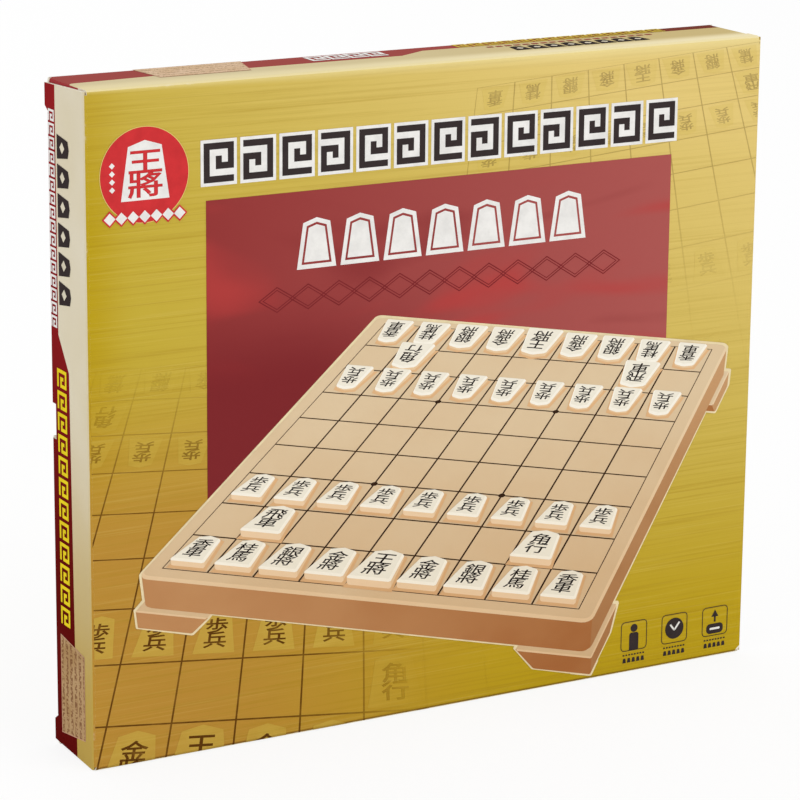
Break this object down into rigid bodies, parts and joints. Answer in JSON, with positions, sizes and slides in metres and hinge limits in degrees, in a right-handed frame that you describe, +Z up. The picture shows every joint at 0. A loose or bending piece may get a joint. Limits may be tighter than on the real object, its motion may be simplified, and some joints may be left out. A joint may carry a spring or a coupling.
{
  "type": "shogi set",
  "caption": "Closed printed carton with tuck ends, holding a footed shogi board, a tray of five-sided wedge pieces and a rules leaflet.",
  "frame": {"origin": "middle of the carton's underside", "axes": "+X along the carton's width to the right as seen from the front, +Y from the front panel to the back panel, +Z up"},
  "size_m": [0.388, 0.046, 0.34],
  "materials": {
    "sleeve_print": "satin",
    "closure_print": "satin",
    "board_moulding": "matte",
    "play_panel": "satin",
    "tray_sheet": "gloss",
    "white_card": "matte",
    "leaflet_paper": "matte",
    "piece_wood": "satin"
  },
  "bodies": {
    "carton": {"carton_sleeve": "sleeve_print", "board_shell": "board_moulding", "play_panel": "play_panel", "base_plate": "board_moulding", "lower_left_foot": "board_moulding", "lower_right_foot": "board_moulding", "upper_left_foot": "board_moulding", "upper_right_foot": "board_moulding", "piece_tray": "tray_sheet", "cover_card": "white_card", "rules_leaflet": "leaflet_paper", "sente_king": "piece_wood", "sente_rook": "piece_wood", "sente_bishop": "piece_wood", "sente_gold_1": "piece_wood", "sente_gold_2": "piece_wood", "sente_silver_1": "piece_wood", "sente_silver_2": "piece_wood", "sente_knight_1": "piece_wood", "sente_knight_2": "piece_wood", "sente_lance_1": "piece_wood", "sente_lance_2": "piece_wood", "sente_pawn_1": "piece_wood", "sente_pawn_2": "piece_wood", "sente_pawn_3": "piece_wood", "sente_pawn_4": "piece_wood", "sente_pawn_5": "piece_wood", "sente_pawn_6": "piece_wood", "sente_pawn_7": "piece_wood", "sente_pawn_8": "piece_wood", "sente_pawn_9": "piece_wood", "gote_king": "piece_wood", "gote_rook": "piece_wood", "gote_bishop": "piece_wood", "gote_gold_1": "piece_wood", "gote_gold_2": "piece_wood", "gote_silver_1": "piece_wood", "gote_silver_2": "piece_wood", "gote_knight_1": "piece_wood", "gote_knight_2": "piece_wood", "gote_lance_1": "piece_wood", "gote_lance_2": "piece_wood", "gote_pawn_1": "piece_wood", "gote_pawn_2": "piece_wood", "gote_pawn_3": "piece_wood", "gote_pawn_4": "piece_wood", "gote_pawn_5": "piece_wood", "gote_pawn_6": "piece_wood", "gote_pawn_7": "piece_wood", "gote_pawn_8": "piece_wood", "gote_pawn_9": "piece_wood"},
    "left_end_panel": {"left_end_panel": "closure_print"},
    "left_tuck_flap": {"left_tuck_flap": "closure_print"},
    "left_upper_dust_flap": {"left_upper_dust_flap": "closure_print"},
    "left_lower_dust_flap": {"left_lower_dust_flap": "closure_print"},
    "right_end_panel": {"right_end_panel": "closure_print"},
    "right_tuck_flap": {"right_tuck_flap": "closure_print"},
    "right_upper_dust_flap": {"right_upper_dust_flap": "closure_print"},
    "right_lower_dust_flap": {"right_lower_dust_flap": "closure_print"}
  },
  "joints": [
    {"name": "left_end_hinge", "type": "hinge", "parent": "carton", "child": "left_end_panel", "pos_m": [-0.19341, -0.02241, 0.17], "axis": [0, 0, 1], "range_deg": [0, 180]},
    {"name": "left_tuck_hinge", "type": "hinge", "parent": "left_end_panel", "child": "left_tuck_flap", "pos_m": [-0.19325, 0.02057, 0.17], "axis": [0, 0, 1], "range_deg": [0, 18]},
    {"name": "left_upper_dust_hinge", "type": "hinge", "parent": "carton", "child": "left_upper_dust_flap", "pos_m": [-0.19171, 0, 0.33941], "axis": [0, 1, 0], "range_deg": [0, 90]},
    {"name": "left_lower_dust_hinge", "type": "hinge", "parent": "carton", "child": "left_lower_dust_flap", "pos_m": [-0.19171, 0, 0.00059], "axis": [0, -1, 0], "range_deg": [0, 90]},
    {"name": "right_end_hinge", "type": "hinge", "parent": "carton", "child": "right_end_panel", "pos_m": [0.19341, -0.02241, 0.17], "axis": [0, 0, -1], "range_deg": [0, 180]},
    {"name": "right_tuck_hinge", "type": "hinge", "parent": "right_end_panel", "child": "right_tuck_flap", "pos_m": [0.19325, 0.02057, 0.17], "axis": [0, 0, -1], "range_deg": [0, 18]},
    {"name": "right_upper_dust_hinge", "type": "hinge", "parent": "carton", "child": "right_upper_dust_flap", "pos_m": [0.19171, 0, 0.33941], "axis": [0, -1, 0], "range_deg": [0, 90]},
    {"name": "right_lower_dust_hinge", "type": "hinge", "parent": "carton", "child": "right_lower_dust_flap", "pos_m": [0.19171, 0, 0.00059], "axis": [0, 1, 0], "range_deg": [0, 90]}
  ],
  "couplings": [
    {"joint": "left_tuck_hinge", "follows": "left_end_hinge", "ratio": 0.1},
    {"joint": "left_upper_dust_hinge", "follows": "left_end_hinge", "ratio": 0.5},
    {"joint": "left_lower_dust_hinge", "follows": "left_end_hinge", "ratio": 0.5},
    {"joint": "right_tuck_hinge", "follows": "right_end_hinge", "ratio": 0.1},
    {"joint": "right_upper_dust_hinge", "follows": "right_end_hinge", "ratio": 0.5},
    {"joint": "right_lower_dust_hinge", "follows": "right_end_hinge", "ratio": 0.5}
  ]
}
